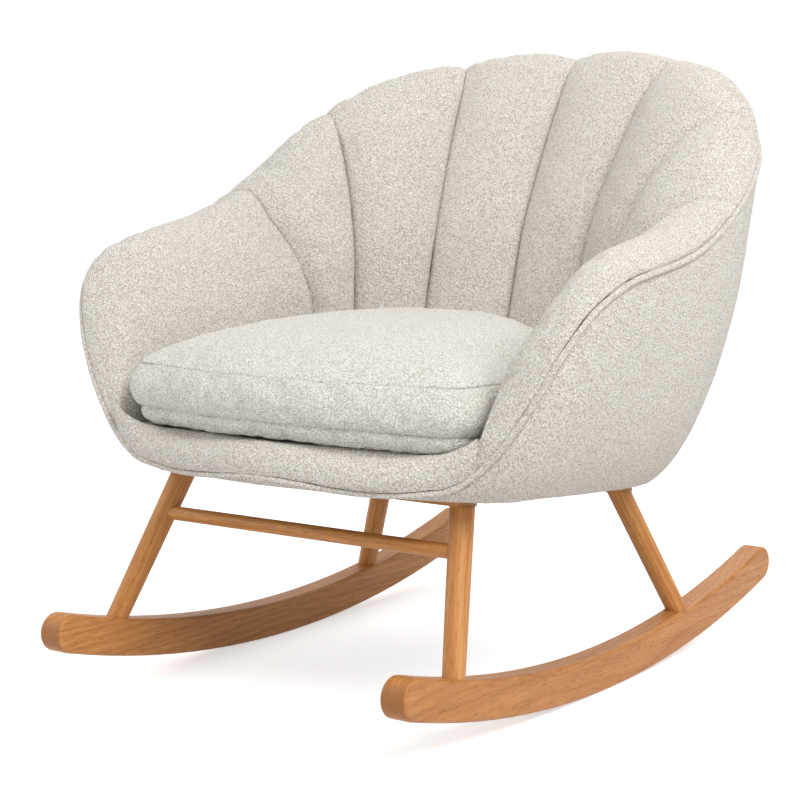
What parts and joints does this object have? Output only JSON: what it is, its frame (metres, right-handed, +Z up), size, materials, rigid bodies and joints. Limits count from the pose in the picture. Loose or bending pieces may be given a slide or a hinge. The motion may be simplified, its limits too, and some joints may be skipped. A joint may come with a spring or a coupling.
{
  "type": "rocking chair",
  "caption": "Upholstered tub rocking chair: channelled barrel back with rolled arms and piping, loose seat cushion, splayed timber legs on two bent rockers",
  "frame": {"origin": "middle of the bounding box's underside, on the floor where both rockers touch it", "axes": "+X to the sitter's left, +Y to the rear along the rockers, +Z up"},
  "size_m": [0.7738, 0.8738, 0.7775],
  "materials": {
    "oak": "satin oiled",
    "zinc_steel": "zinc plated",
    "dust_cloth": "spun-bonded cloth",
    "frame_ply": "unfinished",
    "webbing": "woven elastic webbing",
    "deck_cloth": "plain woven",
    "foam": "open-cell foam",
    "cushion_boucle": "looped boucle",
    "boucle": "looped boucle"
  },
  "bodies": {
    "chair": {"rocker_left": "oak", "rocker_right": "oak", "front_left_leg": "oak", "front_right_leg": "oak", "rear_left_leg": "oak", "rear_right_leg": "oak", "front_stretcher": "oak", "front_cross_rail": "oak", "rear_cross_rail": "oak", "rail_bolts": "zinc_steel", "t_nuts": "zinc_steel", "dust_cover": "dust_cloth", "bottom_board": "frame_ply", "front_seat_rail": "frame_ply", "rear_seat_rail": "frame_ply", "left_seat_rail": "frame_ply", "right_seat_rail": "frame_ply", "corner_blocks": "frame_ply", "long_seat_straps": "webbing", "cross_seat_straps": "webbing", "seat_deck_pad": "deck_cloth", "left_rib_1": "frame_ply", "left_rib_2": "frame_ply", "left_rib_3": "frame_ply", "left_rib_4": "frame_ply", "left_rib_5": "frame_ply", "right_rib_1": "frame_ply", "right_rib_2": "frame_ply", "right_rib_3": "frame_ply", "right_rib_4": "frame_ply", "right_rib_5": "frame_ply", "lower_hoop": "frame_ply", "upper_hoop": "frame_ply", "outer_cover": "boucle", "welt_piping": "boucle", "front_lip_pad": "boucle", "left_arm_pad": "boucle", "right_arm_pad": "boucle", "back_channel_1": "boucle", "back_channel_2": "boucle", "back_channel_3": "boucle", "back_channel_4": "boucle", "back_channel_5": "boucle", "back_channel_6": "boucle"},
    "cushion": {"cushion_cover": "cushion_boucle", "cushion_core": "foam"}
  },
  "joints": [
    {"name": "cushion_lift", "type": "slide", "parent": "chair", "child": "cushion", "axis": [0, 0, 1], "range_m": [0, 0.3]}
  ]
}
